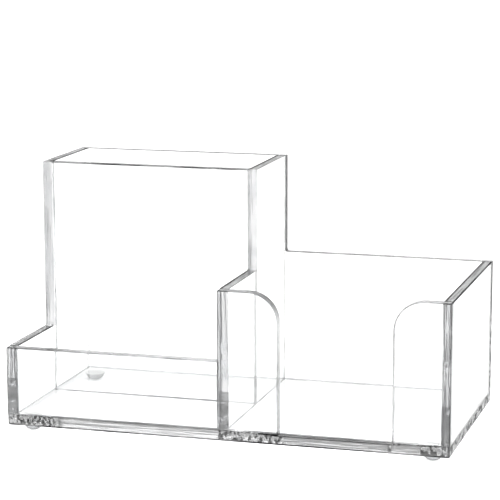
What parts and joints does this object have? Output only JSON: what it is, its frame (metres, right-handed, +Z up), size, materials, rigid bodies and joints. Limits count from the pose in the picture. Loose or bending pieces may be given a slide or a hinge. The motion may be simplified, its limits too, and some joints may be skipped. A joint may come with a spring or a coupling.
{
  "type": "desk organiser",
  "caption": "Clear acrylic desk organiser: a tall pen cup, a low tray in front of it and a note box with an open front beside them, on a base plate with soft dome feet.",
  "frame": {"origin": "on the desk, under the middle of the base plate's width and depth", "axes": "+X to the user's right along the width, +Y to the back, +Z up; the pen cup is at -X and the note box at +X, with its open front at -Y"},
  "size_m": [0.18, 0.09, 0.104],
  "materials": {
    "clear_acrylic": "clear cast sheet, faces as cast, edges flame-polished",
    "clear_rubber": "clear soft polyurethane, glossy and slightly milky",
    "foot_adhesive": "thin clear pressure-sensitive adhesive"
  },
  "bodies": {
    "root": {"base_plate": "clear_acrylic", "back_panel": "clear_acrylic", "left_side_panel": "clear_acrylic", "right_side_panel": "clear_acrylic", "divider_panel": "clear_acrylic", "pen_cup_front_panel": "clear_acrylic", "tray_front_panel": "clear_acrylic", "note_front_left_panel": "clear_acrylic", "note_front_right_panel": "clear_acrylic", "foot_front_left": "clear_rubber", "foot_front_right": "clear_rubber", "foot_back_left": "clear_rubber", "foot_back_right": "clear_rubber", "foot_adhesive_front_left": "foot_adhesive", "foot_adhesive_front_right": "foot_adhesive", "foot_adhesive_back_left": "foot_adhesive", "foot_adhesive_back_right": "foot_adhesive"}
  },
  "joints": []
}
